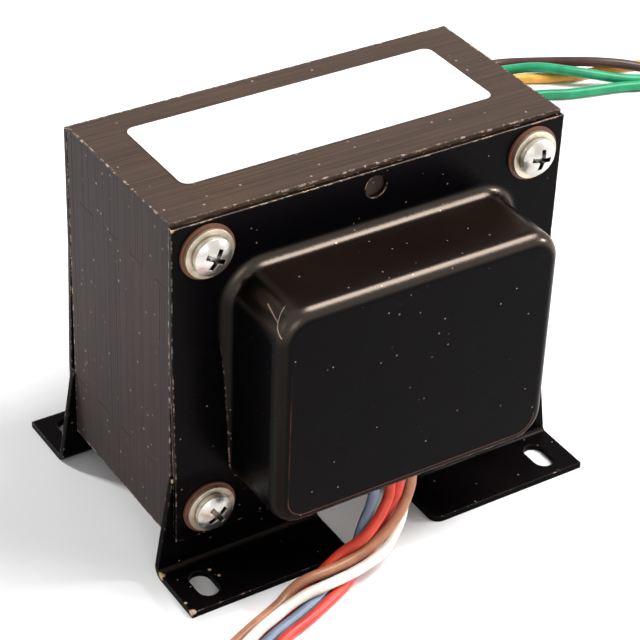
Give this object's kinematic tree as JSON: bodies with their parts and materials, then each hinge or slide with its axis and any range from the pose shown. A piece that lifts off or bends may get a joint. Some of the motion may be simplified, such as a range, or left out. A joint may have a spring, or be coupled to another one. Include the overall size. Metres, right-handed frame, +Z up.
{
  "type": "laminated chassis transformer",
  "caption": "Iron-core mains transformer with an interleaved laminated core, a layer-wound coil, drawn steel end bells, slotted mounting feet and loose insulated leads.",
  "frame": {"origin": "centre of the underside of the feet, on the standing surface, measured without the leads", "axes": "+X along the width of the laminations, +Y through the stack from the bell with five leads to the bell with four, +Z up"},
  "size_m": [0.2937, 0.2249, 0.0878],
  "materials": {
    "e_laminations": "varnished silicon steel sheet edges",
    "i_laminations": "varnished silicon steel sheet edges",
    "front_bell": "gloss black lacquer on drawn steel",
    "rear_bell": "gloss black lacquer on drawn steel",
    "front_foot": "gloss black lacquer on folded steel",
    "rear_foot": "gloss black lacquer on folded steel",
    "bolts": "zinc plated steel, slightly dull",
    "fibre_washers": "red-brown vulcanised fibre",
    "flat_washers": "zinc plated steel, yellowed",
    "nuts": "zinc plated steel",
    "bolt_sleeves": "rolled varnished paper",
    "coil_tube": "varnished pressboard",
    "primary_winding": "enamelled copper wire",
    "winding_barrier": "varnished paper",
    "secondary_winding": "enamelled copper wire",
    "outer_wrap": "varnished kraft paper",
    "lead_pads": "varnished cloth tape",
    "label": "blank white paper label",
    "lead_red": "vinyl insulation",
    "lead_second_red": "vinyl insulation",
    "lead_brown": "vinyl insulation",
    "lead_white": "vinyl insulation",
    "lead_blue": "vinyl insulation",
    "lead_black": "vinyl insulation",
    "lead_striped": "green vinyl insulation with a yellow stripe",
    "lead_yellow": "vinyl insulation",
    "lead_green": "vinyl insulation",
    "front_lead_coil": "the front leads' stored turns",
    "rear_lead_coil": "the rear leads' stored turns"
  },
  "bodies": {
    "root": {"e_laminations": "e_laminations", "i_laminations": "i_laminations", "front_bell": "front_bell", "rear_bell": "rear_bell", "front_foot": "front_foot", "rear_foot": "rear_foot", "bolts": "bolts", "fibre_washers": "fibre_washers", "flat_washers": "flat_washers", "nuts": "nuts", "bolt_sleeves": "bolt_sleeves", "coil_tube": "coil_tube", "primary_winding": "primary_winding", "winding_barrier": "winding_barrier", "secondary_winding": "secondary_winding", "outer_wrap": "outer_wrap", "lead_pads": "lead_pads", "label": "label", "lead_red": "lead_red", "lead_second_red": "lead_second_red", "lead_brown": "lead_brown", "lead_white": "lead_white", "lead_blue": "lead_blue", "lead_black": "lead_black", "lead_striped": "lead_striped", "lead_yellow": "lead_yellow", "lead_green": "lead_green", "front_lead_coil": "front_lead_coil", "rear_lead_coil": "rear_lead_coil"}
  },
  "joints": []
}
